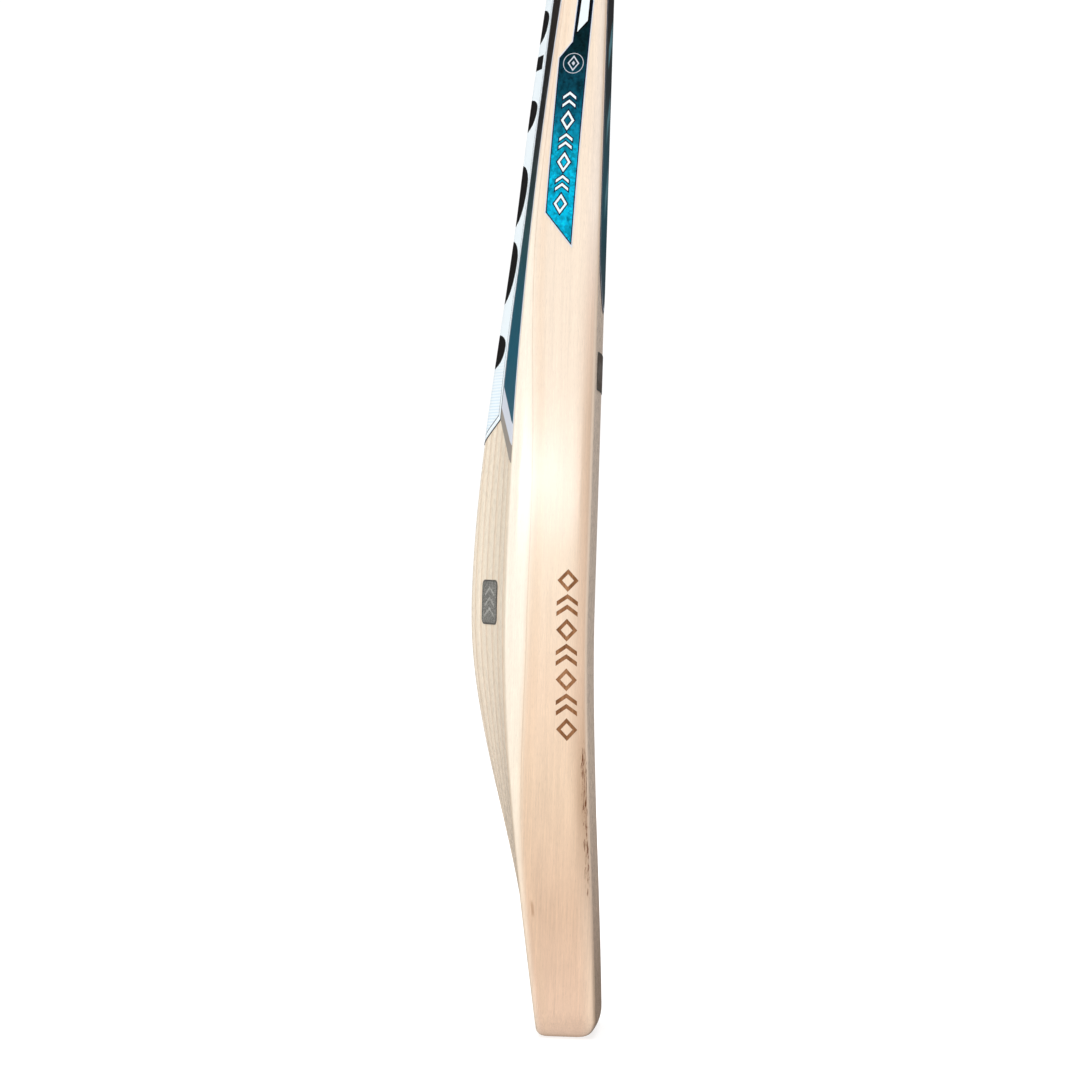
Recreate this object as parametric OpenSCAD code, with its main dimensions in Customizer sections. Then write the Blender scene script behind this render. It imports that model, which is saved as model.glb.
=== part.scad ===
// Full-size cricket bat with a short handle.
// The bat stands on its toe: +Z runs up the blade and the handle, the hitting
// face looks towards -Y, the spine towards +Y, and the origin is the middle of
// the flat toe. The blade is a loft of willow with a V cut in its shoulder. The
// handle is glued up from cane slabs with rubber springs between them, its lower
// end fills the V, and thread and a rubber sleeve go round it.

/* [Blade] */
// Length of the blade from toe to shoulder
blade_length = 560; // [545:1:575]
// Greatest width of the blade
blade_width = 108; // [100:0.5:108]
// Thickness of the edges where they are thickest
edge_max = 40; // [36:0.5:40]
// Thickness of the edges at the toe
edge_toe = 28; // [24:0.5:32]
// Thickness that the edges thin to at the shoulder
edge_shoulder = 16.5; // [16:0.5:19]
// Height of the spine above the edges at the swell
spine_max = 18.5; // [14:0.5:25]
// Height of the spine above the edges near the shoulder
spine_neck = 9.5; // [9:0.5:12]
// Height of the spine above the edges at the toe
spine_toe = 1.5; // [0.5:0.5:3]
// Height of the swell, the thickest place, above the toe
swell_height = 210; // [190:5:250]
// How far the toe sweeps forward of the rest of the face
toe_sweep = 11; // [4:0.2:14]
// Rise of the middle of the face above its borders
face_crown = 1.2; // [0:0.1:2]

/* [Blade edges] */
// Radius between the face and an edge
face_corner_r = 3; // [2:0.5:4]
// Radius between the back and an edge
back_corner_r = 2.5; // [1.5:0.5:4]
// Radius from the face under the toe, seen from an edge
toe_face_r = 9; // [4:0.5:10]
// Radius from the back under the toe, seen from an edge
toe_back_r = 4; // [3:0.5:7]
// Radius of the toe's two lower corners, seen from the front
toe_corner_r = 14; // [8:1:20]
// Height over which the shoulders round in to the handle
shoulder_round = 32; // [26:1:40]

/* [Handle] */
// Length of the handle above the shoulder
handle_length = 290; // [280:1:300]
// Diameter of the glued cane handle
cane_d = 31.6; // [30:0.2:32]
// Thickness of each rubber spring
spring_t = 1.4; // [1:0.1:2]
// Thickness of the thread binding
thread_t = 0.7; // [0.5:0.1:1]
// Thickness of the rubber sleeve
grip_t = 1.5; // [1:0.1:2]
// Depth of the V joint below the shoulder
splice_depth = 140; // [120:5:150]
// Width of the V joint at the shoulder
splice_w = 40; // [36:1:41]

/* [Labels] */
// Thickness of the vinyl labels
label_t = 0.25; // [0.2:0.05:0.4]
// Half width of the white middle of the back label
back_label_half = 28; // [24:1:32]
// Width of the edge labels
edge_label_w = 14.5; // [12:0.5:16]

/* [Hidden] */

half_blade = blade_width / 2;
ring_step = 10;                       // height between the blade's sections
ridge_blunt = 0.12;                   // how round the top of the spine is
ridge_hollow = 1.15;                  // how hollow the sides of the spine are
waist_hollow = 0.35;                  // how much hollower they are at the waist
waist_low = 330;                      // heights between which the waist lies
waist_high = 510;
neck_half = 22;                       // half width left where the shoulders end
corner_start = 1.6;                   // where the back starts to round, in corner radii
toe_taper = 1.2;                      // narrowing of each side towards the toe
toe_taper_z = 150;                    // height below which they narrow
shoulder_taper = 1.5;                 // narrowing of each side towards the shoulder
shoulder_taper_z = 400;               // height above which they narrow
shoulder_z = blade_length - shoulder_round;
edge_drop = 27;                       // thinning of the edges from swell to shoulder
spine_start = 40;                     // height at which the spine starts to rise
spine_rise = swell_height - 45;       // height over which it rises
spine_run = 200;                      // height over which the spine sinks to its neck
sweep_below = 50;                     // the sweep's curve starts this far below the toe
sweep_run = 260;                      // height over which the face bends forward
toe_y = -(face_crown + edge_toe + spine_toe + toe_face_r - toe_back_r) / 2;

cane_r = cane_d / 2;
handle_top = blade_length + handle_length;
handle_set_back = 14.15;              // handle's axis behind the upper face
root_z = blade_length - 2;            // where the V starts to turn round
root_h = 24;                          // height over which it turns round
handle_y = face_y(0, blade_length) + handle_set_back;
splice_tip_half = 2;
splice_tip_z = blade_length - splice_depth;
binding_z = blade_length + 0.2;
thread_z = root_z + root_h;
grip_z = thread_z + 4;
slab_t = (cane_d - 3 * spring_t) / 4;
slab_pitch = slab_t + spring_t;
cane_split = cane_r / 3;              // half width of the middle cane of a slab
label_gap = 0.03;                     // glue line under a label
edge_label_mid = 0.595;               // place of an edge label, face to back
thin = 0.1;                           // least thickness of a slab's outer border
far = 100;
$fn = 64;

// ---------------------------------------------------------------- helpers

function mix(a, b, t) = a + (b - a) * t;
function clamp01(t) = max(0, min(1, t));
function smooth(t) = let (c = clamp01(t)) c * c * (3 - 2 * c);
function soft_max(a, b, k) = b + k * ln(1 + exp((a - b) / k));
function reverse(list) = [for (i = [len(list) - 1:-1:0]) list[i]];
function flatten(lists) = [for (l = lists) each l];
function at_height(ring, z) = [for (p = ring) [p[0], p[1], z]];

// ------------------------------------------------------ shape of the blade

// How far the face has come back from the toe at height z
function bend(z) = toe_sweep * smooth((z + sweep_below) / sweep_run);

// How far a corner of radius r at the bottom of the toe is cut back at height z
function round_off(z, r) = z < r ? r - sqrt(r ^ 2 - (r - z) ^ 2) : 0;

function edge_thickness(z) =
    z < swell_height
        ? edge_max - (edge_max - edge_toe) * (1 - z / swell_height) ^ 2
        : soft_max(
            edge_max - edge_drop * ((z - swell_height) / (blade_length - swell_height)) ^ 2,
            edge_shoulder, 2
        );

function spine_height(z) =
    z < swell_height
        ? mix(spine_toe, spine_max, smooth((z - spine_start) / spine_rise))
        : mix(spine_max, spine_neck, smooth((z - swell_height) / spine_run));

// Half width before the toe and the shoulders are rounded
function side(z) =
    half_blade - toe_taper * (1 - clamp01(z / toe_taper_z)) ^ 2
        - shoulder_taper
            * clamp01((z - shoulder_taper_z) / (blade_length - shoulder_taper_z)) ^ 2;

function half_width(z) =
    z < toe_corner_r
        ? side(z) - round_off(z, toe_corner_r)
        : z > shoulder_z
            ? mix(neck_half, side(z), sqrt(max(0, 1 - ((z - shoulder_z) / shoulder_round) ^ 2)))
            : side(z);

function hollow(z) =
    ridge_hollow
        + waist_hollow * smooth((z - waist_low) / 90) * smooth((waist_high - z) / 60);

// Section of the spine: 1 on the ridge, 0 at the edges
function ridge(t, z) =
    (1 - (sqrt(t ^ 2 + ridge_blunt ^ 2) - ridge_blunt)
        / (sqrt(1 + ridge_blunt ^ 2) - ridge_blunt)) ^ hollow(z);

function face_y(x, z) =
    bend(z) - bend(0) + toe_y + face_crown * (x / half_blade) ^ 2;

function back_y(x, z) =
    bend(z) - bend(0) + toe_y + face_crown + edge_thickness(z)
        + spine_height(z) * ridge(min(1, abs(x) / side(z)), z);

// The back with the start of its rounded corners
function rounded_back_y(x, z) =
    let (
        inner = side(z) - corner_start * back_corner_r,
        outer = side(z) - back_corner_r / 2,
        drop = back_corner_r * (1 - sin(60))
    )
    abs(x) < inner
        ? back_y(x, z)
        : mix(back_y(inner, z), back_y(side(z), z) - drop, (abs(x) - inner) / (outer - inner));

// Right half of a section, from the middle of the face round to the ridge
function half_section(z) =
    let (
        w = half_width(z),
        under_face = round_off(z, toe_face_r),
        under_back = round_off(z, toe_back_r),
        rf = face_corner_r,
        rb = back_corner_r,
        front = face_y(w, z) + under_face,
        back = back_y(w, z) - under_back
    )
    concat(
        [for (i = [0:5]) let (x = i / 5 * (w - rf)) [x, face_y(x, z) + under_face]],
        [for (a = [-60:30:0]) [w - rf + rf * cos(a), front + rf + rf * sin(a)]],
        [for (a = [0:30:60]) [w - rb + rb * cos(a), back - rb + rb * sin(a)]],
        [for (i = [0:11]) let (x = (w - corner_start * rb) * (1 - i / 11) ^ 1.3)
            [x, back_y(x, z) - under_back]]
    );

function section(z) =
    let (right = half_section(z))
    concat(
        right,
        [for (i = [len(right) - 2:-1:1]) [-right[i][0], right[i][1]]]
    );

blade_heights = concat(
    [0, 0.5, 1.4, 2.6, 4, 6, 9],
    [for (z = [toe_corner_r:ring_step:shoulder_z - ring_step / 2]) z],
    [for (a = [0:15:90]) shoulder_z + shoulder_round * sin(a)]
);

// ----------------------------------------------------- shape of the handle

// 0 in the V joint, 1 where the handle is round
function roundness(z) = smooth((z - root_z) / root_h);

function splice_half(z) =
    mix(splice_tip_half, splice_w / 2, clamp01((z - splice_tip_z) / splice_depth));

function slab_y(row) = handle_y - cane_r + (row - 1) * slab_pitch;
function spring_y(n) = slab_y(n) + slab_t;

// Half width of the round handle between two planes across it
function round_half(y0, y1) =
    let (off = max(0, y0 - handle_y, handle_y - y1))
    0.99 * sqrt(cane_r ^ 2 - off ^ 2);

function layer_half(z, y0, y1) = mix(splice_half(z), round_half(y0, y1), roundness(z));

// Half width of the whole handle
function root_half(z) = mix(splice_half(z), cane_r, roundness(z));

// Front and back of the handle, u from -1 on one side to 1 on the other
function handle_front(u, z) =
    mix(face_y(u * splice_half(z), z), handle_y - cane_r * sqrt(1 - u ^ 2), roundness(z));
function handle_back(u, z) =
    mix(back_y(u * splice_half(z), z), handle_y + cane_r * sqrt(1 - u ^ 2), roundness(z));

// Section of the piece of one layer that lies between x0 and x1
function layer_ring(z, x0, x1, y0, y1) =
    let (
        w = layer_half(z, y0, y1),
        half = root_half(z),
        xs = [for (i = [0:6]) mix(max(x0, -w), min(x1, w), i / 6)]
    )
    at_height(concat(
        [for (x = xs) [x, min(y1 - thin, max(y0, handle_front(x / half, z)))]],
        [for (x = reverse(xs)) [x, max(y0 + thin, min(y1, handle_back(x / half, z)))]]
    ), z);

// Height at which the V becomes wide enough to reach past x
function splice_reach(x) =
    splice_tip_z + splice_depth * max(0, x + 0.4 - splice_tip_half)
        / (splice_w / 2 - splice_tip_half);

function layer_heights(z0) = concat(
    [for (i = [0:8]) mix(z0, root_z, i / 8)],
    [for (i = [1:10]) root_z + i * root_h / 10],
    [handle_top]
);

// Section of the whole handle grown by t, for the thread at its root
function root_ring(z, t) =
    let (w = root_half(z) + t)
    at_height(concat(
        [for (a = [-90:15:90]) [w * sin(a), handle_front(sin(a), z) - t * cos(a)]],
        [for (a = [90:-15:-90]) [w * sin(a), handle_back(sin(a), z) + t * cos(a)]]
    ), z);

// --------------------------------------------------------- general solids

// Closed solid through a stack of rings, each anticlockwise from above. The ends
// of a paired ring are filled from side to side, each point with its opposite.
module loft(rings, paired = false) {
    n = len(rings[0]);
    top = (len(rings) - 1) * n;
    sides = [
        for (r = [0:len(rings) - 2], k = [0:n - 1])
            let (a = r * n + k, b = r * n + (k + 1) % n, c = a + n, d = b + n)
            each [[a, c, d], [a, d, b]]
    ];
    end = paired
        ? [for (k = [0:n / 2 - 2]) each [[k, k + 1, n - 2 - k], [k, n - 2 - k, n - 1 - k]]]
        : [[for (k = [0:n - 1]) k]];
    far_end = [for (face = end) reverse([for (k = face) top + k])];
    polyhedron(points = flatten(rings), faces = concat(sides, end, far_end));
}

// Wall between two stacks of rings, open at both ends
module lofted_tube(inner, outer) {
    n = len(inner[0]);
    m = len(inner);
    shift = m * n;
    top = (m - 1) * n;
    walls = [
        for (r = [0:m - 2], k = [0:n - 1])
            let (a = r * n + k, b = r * n + (k + 1) % n, c = a + n, d = b + n)
            each [
                [a, d, c], [a, b, d],
                [a + shift, c + shift, d + shift], [a + shift, d + shift, b + shift]
            ]
    ];
    ends = [
        for (k = [0:n - 1])
            let (a = k, b = (k + 1) % n, c = top + a, d = top + b)
            each [
                [b, a, a + shift], [b, a + shift, b + shift],
                [c, d, d + shift], [c, d + shift, c + shift]
            ]
    ];
    polyhedron(points = concat(flatten(inner), flatten(outer)), faces = concat(walls, ends));
}

// Thin sheet between two grids of points; rows x columns points outwards
module skin(inner, outer) {
    rows = len(inner);
    cols = len(inner[0]);
    shift = rows * cols;
    border = concat(
        [for (j = [0:cols - 1]) j],
        [for (i = [1:rows - 1]) i * cols + cols - 1],
        [for (j = [cols - 2:-1:0]) (rows - 1) * cols + j],
        [for (i = [rows - 2:-1:1]) i * cols]
    );
    sheets = [
        for (i = [0:rows - 2], j = [0:cols - 2])
            let (a = i * cols + j, b = a + 1, c = a + cols, d = c + 1)
            each [
                [a, c, b], [b, c, d],
                [a + shift, b + shift, c + shift], [b + shift, d + shift, c + shift]
            ]
    ];
    rim = [
        for (k = [0:len(border) - 1])
            let (a = border[k], b = border[(k + 1) % len(border)])
            each [[a, b, b + shift], [a, b + shift, a + shift]]
    ];
    polyhedron(points = concat(flatten(inner), flatten(outer)), faces = concat(sheets, rim));
}

// A label on the back: x and its lower and upper ends come from functions
module back_skin(xs, low, high, rows) {
    grid = [for (i = [0:rows]) [for (x = xs) [x, mix(low(x), high(x), i / rows)]]];
    skin(
        [for (row = grid) [for (p = row) [p[0], rounded_back_y(p[0], p[1]) + label_gap, p[1]]]],
        [
            for (row = grid)
                [for (p = row) [p[0], rounded_back_y(p[0], p[1]) + label_gap + label_t, p[1]]]
        ]
    );
}

// A label on the face, x given from right to left
module face_skin(xs, low, high, rows) {
    grid = [for (i = [0:rows]) [for (x = xs) [x, mix(low(x), high(x), i / rows)]]];
    skin(
        [for (row = grid) [for (p = row) [p[0], face_y(p[0], p[1]) - label_gap, p[1]]]],
        [for (row = grid) [for (p = row) [p[0], face_y(p[0], p[1]) - label_gap - label_t, p[1]]]]
    );
}

// ------------------------------------------------------------------ blade

module splice_cut() {
    rotate([90, 0, 0])
        linear_extrude(height = 2 * far, center = true)
            polygon([
                [-splice_tip_half, splice_tip_z],
                [splice_tip_half, splice_tip_z],
                [splice_w / 2, blade_length],
                [splice_w / 2, blade_length + far],
                [-splice_w / 2, blade_length + far],
                [-splice_w / 2, blade_length]
            ]);
}

module blade() {
    color("#ecd9be")
        difference() {
            loft([for (z = blade_heights) at_height(section(z), z)]);
            splice_cut();
        }
}

// ----------------------------------------------------------------- handle

// One cane of a slab; columns 1 and 3 are the outer ones
module cane(row, col) {
    y0 = row == 1 ? -far : slab_y(row);
    y1 = row == 4 ? far : slab_y(row) + slab_t;
    x0 = [-far, -cane_split, cane_split][col - 1];
    x1 = [-cane_split, cane_split, far][col - 1];
    z0 = col == 2 ? splice_tip_z : splice_reach(cane_split);
    color(row % 2 == 0 ? "#d8b878" : "#cfae6c")
        loft([for (z = layer_heights(z0)) layer_ring(z, x0, x1, y0, y1)], paired = true);
}

module spring(n) {
    color("#8a4a32")
        loft([
            for (z = layer_heights(splice_tip_z))
                layer_ring(z, -far, far, spring_y(n), spring_y(n) + spring_t)
        ], paired = true);
}

module shoulder_binding() {
    heights = [for (i = [0:8]) mix(binding_z, thread_z - 0.1, i / 8)];
    color("#d9cdb4")
        lofted_tube(
            [for (z = heights) root_ring(z, 0.05)],
            [for (z = heights) root_ring(z, thread_t)]
        );
}

module sleeve(inner_r, wall, z0, z1) {
    translate([0, handle_y, z0])
        difference() {
            cylinder(r = inner_r + wall, h = z1 - z0);
            translate([0, 0, -1]) cylinder(r = inner_r, h = z1 - z0 + 2);
        }
}

module handle_binding() {
    color("#e2d8c2") sleeve(cane_r, thread_t, thread_z, handle_top - 1);
}

module grip() {
    color("#1f6f86") sleeve(cane_r + thread_t, grip_t, grip_z, handle_top + 1);
}

// ----------------------------------------------------------------- labels

back_label_tip = 284;                 // lowest point of the white middle
back_label_rise = 12;                 // rise of its lower end towards its borders
back_label_top = shoulder_z + 6;
stripe_gap = 0.4;                     // wood left between the middle and a stripe
stripe_low = 275;                     // lower end of a stripe at the blade's edge
face_label_tip = 350;                 // lowest point of the face label
face_label_rise = 19;                 // rise of its bowed lower end to either side

module back_label() {
    xs = [for (i = [-8:8]) sign(i) * back_label_half * (abs(i) / 8) ^ 1.2];
    color("#f4f8fb")
        back_skin(
            xs,
            function (x) back_label_tip + back_label_rise * abs(x) / back_label_half,
            function (x) back_label_top,
            26
        );
}

// The dark stripe with its silver and grey ends, on the +X side
module back_stripe() {
    inner = back_label_half + stripe_gap;
    corner = half_blade - corner_start * back_corner_r;
    outer = half_blade - back_corner_r;
    color("#1f5f70")
        back_skin(
            concat([for (i = [0:4]) mix(inner, corner - 1, i / 4)], [corner, outer]),
            function (x) mix(back_label_tip + back_label_rise, stripe_low,
                (x - inner) / (outer - inner)),
            function (x) mix(back_label_top, shoulder_z - 6, (x - inner) / (outer - inner)),
            24
        );
}

module back_stripe_left() { mirror([1, 0, 0]) back_stripe(); }

module back_stripe_right() { back_stripe(); }

// Label on the -X edge, pointed at its lower end and stepped near its top
module edge_label() {
    face_end = 378.5;
    back_end = 395;
    step_low = 469.5;
    step_high = 477.5;
    step_reach = 1.6;
    top_reach = 0.4;
    top = shoulder_z - 8;
    half = edge_label_w / 2;
    cols = 4;
    row = function (low, reach) [
        for (j = [0:cols])
            let (z = mix(low[0], low[1], j / cols))
            let (mid = face_y(half_blade, z) + edge_label_mid * edge_thickness(z))
            [mix(mid - half, mid + reach, j / cols), z]
    ];
    grid = concat(
        [
            for (i = [0:12])
                row([mix(face_end, step_low, i / 12), mix(back_end, step_low, i / 12)], half)
        ],
        [
            for (i = [0:6])
                let (z = mix(step_high, top, i / 6))
                row([z, z], mix(step_reach, top_reach, i / 6))
        ]
    );
    color("#12b4d6")
        skin(
            [for (row = grid) [for (p = row) [-side(p[1]) - label_gap, p[0], p[1]]]],
            [for (row = grid) [for (p = row) [-side(p[1]) - label_gap - label_t, p[0], p[1]]]]
        );
}

module edge_label_left() { edge_label(); }

module edge_label_right() { mirror([1, 0, 0]) edge_label(); }

// Label over nearly the whole width of the face, its lower end a shallow bow
// with steeper ends
module face_label() {
    half = half_blade - 5;
    bow = half - 4;
    end_slope = 3.5;
    color("#20424a")
        face_skin(
            concat([half], [for (i = [5:-1:-5]) bow * i / 5], [-half]),
            function (x)
                face_label_tip + face_label_rise * (abs(x) / bow) ^ 1.8
                    + end_slope * max(0, abs(x) - bow),
            function (x) shoulder_z,
            20
        );
}

module face_badge() {
    half = 40;
    low = 311.5;
    high = 330;
    color("#3a4246")
        face_skin(
            [for (i = [4:-1:-4]) half * i / 4],
            function (x) low,
            function (x) high,
            3
        );
}

module back_badge() {
    outer = -41;
    inner = -20;
    low = 197;
    high = 218.5;
    color("#6f736f")
        back_skin(
            [for (i = [0:5]) mix(outer, inner, i / 5)],
            function (x) low,
            function (x) high,
            4
        );
}

// ------------------------------------------------------------------ nodes

blade();
for (row = [1:4], col = [1:3])
    cane(row, col);
for (n = [1:3])
    spring(n);
shoulder_binding();
handle_binding();
grip();
back_label();
back_stripe_left();
back_stripe_right();
edge_label_left();
edge_label_right();
face_label();
face_badge();
back_badge();
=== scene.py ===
"""Looks of a full-size cricket bat that stands on its toe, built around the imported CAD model.

Shapes are worked out in millimetres and become metres when a mesh is made. X runs
across the blade, the hitting face looks towards -Y, the spine towards +Y, and Z
runs from the toe up the handle. The blade's formulas are those of the CAD source.
"""

import math

import bmesh
import bpy
import numpy as np
from mathutils import Matrix, Vector, geometry


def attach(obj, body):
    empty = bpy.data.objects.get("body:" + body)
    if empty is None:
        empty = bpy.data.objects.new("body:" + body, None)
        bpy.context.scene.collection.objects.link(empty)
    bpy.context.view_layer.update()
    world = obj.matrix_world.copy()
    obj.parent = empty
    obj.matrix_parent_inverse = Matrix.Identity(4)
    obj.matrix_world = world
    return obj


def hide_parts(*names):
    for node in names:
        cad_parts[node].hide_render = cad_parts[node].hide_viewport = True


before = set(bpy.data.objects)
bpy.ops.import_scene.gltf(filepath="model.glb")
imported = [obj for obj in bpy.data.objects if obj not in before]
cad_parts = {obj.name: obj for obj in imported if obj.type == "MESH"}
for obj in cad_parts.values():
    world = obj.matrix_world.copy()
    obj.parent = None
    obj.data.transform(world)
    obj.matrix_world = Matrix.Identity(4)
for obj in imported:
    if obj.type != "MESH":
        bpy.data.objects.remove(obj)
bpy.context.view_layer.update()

MM = 0.001
UP = Vector((0, 0, 1))

# ------------ camera

CAMERA_TARGET = Vector((-54, 17.1, 238.5)) * MM
CAMERA_DISTANCE = 2.4
CAMERA_TURN = math.radians(2.37)  # from straight at the edge towards the face
CAMERA_ROLL = math.radians(1.79)
CAMERA_LENS = 167.2


def add_camera():
    data = bpy.data.cameras.new("camera")
    data.sensor_width = 36
    data.lens = CAMERA_LENS
    data.clip_start = 0.05
    data.clip_end = 200
    ob = bpy.data.objects.new("camera", data)
    bpy.context.scene.collection.objects.link(ob)
    ahead = Vector((math.cos(CAMERA_TURN), math.sin(CAMERA_TURN), 0))
    right = ahead.cross(UP)
    across = right * math.cos(CAMERA_ROLL) + UP * math.sin(CAMERA_ROLL)
    upward = UP * math.cos(CAMERA_ROLL) - right * math.sin(CAMERA_ROLL)
    turn = Matrix((across, upward, -ahead)).transposed()
    ob.matrix_world = (
        Matrix.Translation(CAMERA_TARGET - ahead * CAMERA_DISTANCE) @ turn.to_4x4()
    )
    bpy.context.scene.camera = ob


add_camera()

# ------------ the blade's own shape

BLADE_LENGTH = 560
HALF_BLADE = 54
SWELL = 210  # height of the thickest place
EDGE_MAX, EDGE_TOE, EDGE_SHOULDER = 40, 28, 16.5
EDGE_DROP = 27  # thinning of the edges from swell to shoulder
EDGE_SOFT = 2  # how gently they reach the shoulder's thickness
SPINE_MAX, SPINE_NECK, SPINE_TOE = 18.5, 9.5, 1.5
SPINE_START, SPINE_RISE, SPINE_RUN = 40, SWELL - 45, 200
TOE_SWEEP, SWEEP_BELOW, SWEEP_RUN = 11, 50, 260
TOE_TAPER, TOE_TAPER_Z = 1.2, 150
SHOULDER_TAPER, SHOULDER_TAPER_Z = 1.5, 400
CROWN = 1.2
FACE_R, BACK_R = 3, 2.5
TOE_FACE_R, TOE_BACK_R, TOE_CORNER_R = 9, 4, 14
SHOULDER_ROUND = 32
SHOULDER_Z = BLADE_LENGTH - SHOULDER_ROUND
NECK_HALF = 22
TOE_Y = -(CROWN + EDGE_TOE + SPINE_TOE + TOE_FACE_R - TOE_BACK_R) / 2
RIDGE_BLUNT, RIDGE_HOLLOW, WAIST_HOLLOW = 0.12, 1.15, 0.35
WAIST_LOW, WAIST_HIGH = 330, 510
SPLICE_DEPTH = 140
SPLICE_TIP_Z = BLADE_LENGTH - SPLICE_DEPTH
SPLICE_TIP_HALF, SPLICE_HALF = 2, 20
HANDLE_BACK = 14.15  # the handle's axis behind the upper face
CANE_R, THREAD_T, GRIP_T = 15.8, 0.7, 1.5
ROOT_Z, ROOT_H = BLADE_LENGTH - 2, 24  # where the V turns round, and over what height
THREAD_Z = ROOT_Z + ROOT_H
GRIP_Z = THREAD_Z + 4
HANDLE_TOP = 850


def mix(a, b, t):
    return a + (b - a) * t


def smooth(t):
    c = np.clip(t, 0, 1)
    return c * c * (3 - 2 * c)


def bend(z):
    """How far the face has come back from where it starts at height z."""
    return TOE_SWEEP * smooth((z + SWEEP_BELOW) / SWEEP_RUN)


def round_off(z, r):
    """How far a corner of radius r at the bottom of the toe is cut back at height z."""
    return np.where(z < r, r - np.sqrt(np.maximum(0, r * r - (r - np.minimum(z, r)) ** 2)), 0)


def edge_thickness(z):
    low = EDGE_MAX - (EDGE_MAX - EDGE_TOE) * (1 - np.minimum(z, SWELL) / SWELL) ** 2
    high = EDGE_MAX - EDGE_DROP * ((z - SWELL) / (BLADE_LENGTH - SWELL)) ** 2
    high = EDGE_SHOULDER + EDGE_SOFT * np.log(1 + np.exp((high - EDGE_SHOULDER) / EDGE_SOFT))
    return np.where(z < SWELL, low, high)


def spine_height(z):
    low = mix(SPINE_TOE, SPINE_MAX, smooth((z - SPINE_START) / SPINE_RISE))
    high = mix(SPINE_MAX, SPINE_NECK, smooth((z - SWELL) / SPINE_RUN))
    return np.where(z < SWELL, low, high)


def side(z):
    """Half width before the toe and the shoulders are rounded."""
    toe = TOE_TAPER * (1 - np.clip(z / TOE_TAPER_Z, 0, 1)) ** 2
    above = np.clip((z - SHOULDER_TAPER_Z) / (BLADE_LENGTH - SHOULDER_TAPER_Z), 0, 1)
    return HALF_BLADE - toe - SHOULDER_TAPER * above**2


def half_width(z):
    turn = np.sqrt(np.maximum(0, 1 - (np.maximum(z - SHOULDER_Z, 0) / SHOULDER_ROUND) ** 2))
    return np.where(
        z > SHOULDER_Z, mix(NECK_HALF, side(z), turn), side(z) - round_off(z, TOE_CORNER_R)
    )


def ridge(t, z):
    """Section of the spine at height z: 1 on the ridge, 0 at the edges."""
    full = math.sqrt(1 + RIDGE_BLUNT**2) - RIDGE_BLUNT
    rise = np.sqrt(t * t + RIDGE_BLUNT**2) - RIDGE_BLUNT
    waist = smooth((z - WAIST_LOW) / 90) * smooth((WAIST_HIGH - z) / 60)
    return np.maximum(0, 1 - rise / full) ** (RIDGE_HOLLOW + WAIST_HOLLOW * waist)


def face_y(x, z):
    return bend(z) - bend(0) + TOE_Y + CROWN * (x / HALF_BLADE) ** 2


def back_y(x, z):
    rise = spine_height(z) * ridge(np.minimum(1, np.abs(x) / side(z)), z)
    return bend(z) - bend(0) + TOE_Y + CROWN + edge_thickness(z) + rise


HANDLE_Y = float(face_y(0, BLADE_LENGTH)) + HANDLE_BACK

# ------------ mesh helpers


def link(ob):
    bpy.context.scene.collection.objects.link(ob)
    return ob


def mesh_object(name, verts, faces, materials, slots=None, sharp=35):
    """A mesh object from points in millimetres."""
    mesh = bpy.data.meshes.new(name)
    mesh.from_pydata([tuple(c * MM for c in v) for v in verts], [], faces)
    for material in materials:
        mesh.materials.append(material)
    if slots is not None:
        mesh.polygons.foreach_set("material_index", slots)
    bm = bmesh.new()
    bm.from_mesh(mesh)
    bmesh.ops.recalc_face_normals(bm, faces=bm.faces)
    bm.to_mesh(mesh)
    bm.free()
    smooth_faces(mesh, sharp)
    return link(bpy.data.objects.new(name, mesh))


def smooth_faces(mesh, sharp):
    """Smooth shading, but for corners of more than so many degrees."""
    mesh.polygons.foreach_set("use_smooth", [True] * len(mesh.polygons))
    mesh.set_sharp_from_angle(angle=math.radians(sharp))
    mesh.update()


def loft(rings):
    """Faces of a closed solid through rings of equal length, with flat ends."""
    n = len(rings[0])
    faces = [
        (a, b, b + n, a + n)
        for r in range(len(rings) - 1)
        for a, b in ((r * n + k, r * n + (k + 1) % n) for k in range(n))
    ]
    top = (len(rings) - 1) * n
    faces.append(tuple(range(n - 1, -1, -1)))
    faces.append(tuple(range(top, top + n)))
    return faces


def tube(rings):
    """Faces of a ring-shaped solid: the last ring joins the first again."""
    n, m = len(rings[0]), len(rings)
    return [
        (r * n + k, r * n + (k + 1) % n, (r + 1) % m * n + (k + 1) % n, (r + 1) % m * n + k)
        for r in range(m)
        for k in range(n)
    ]


def flat(rings):
    return [p for ring in rings for p in ring]


def finish_piece(ob, node):
    """Hangs the piece on the root and hides the CAD node that it stands in for."""
    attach(ob, "root")
    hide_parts(node)


# ------------ material helpers


def lin(r, g, b):
    """A colour given as 8-bit sRGB, as linear RGBA."""

    def channel(c):
        c /= 255
        return c / 12.92 if c <= 0.04045 else ((c + 0.055) / 1.055) ** 2.4

    return channel(r), channel(g), channel(b), 1.0


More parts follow.
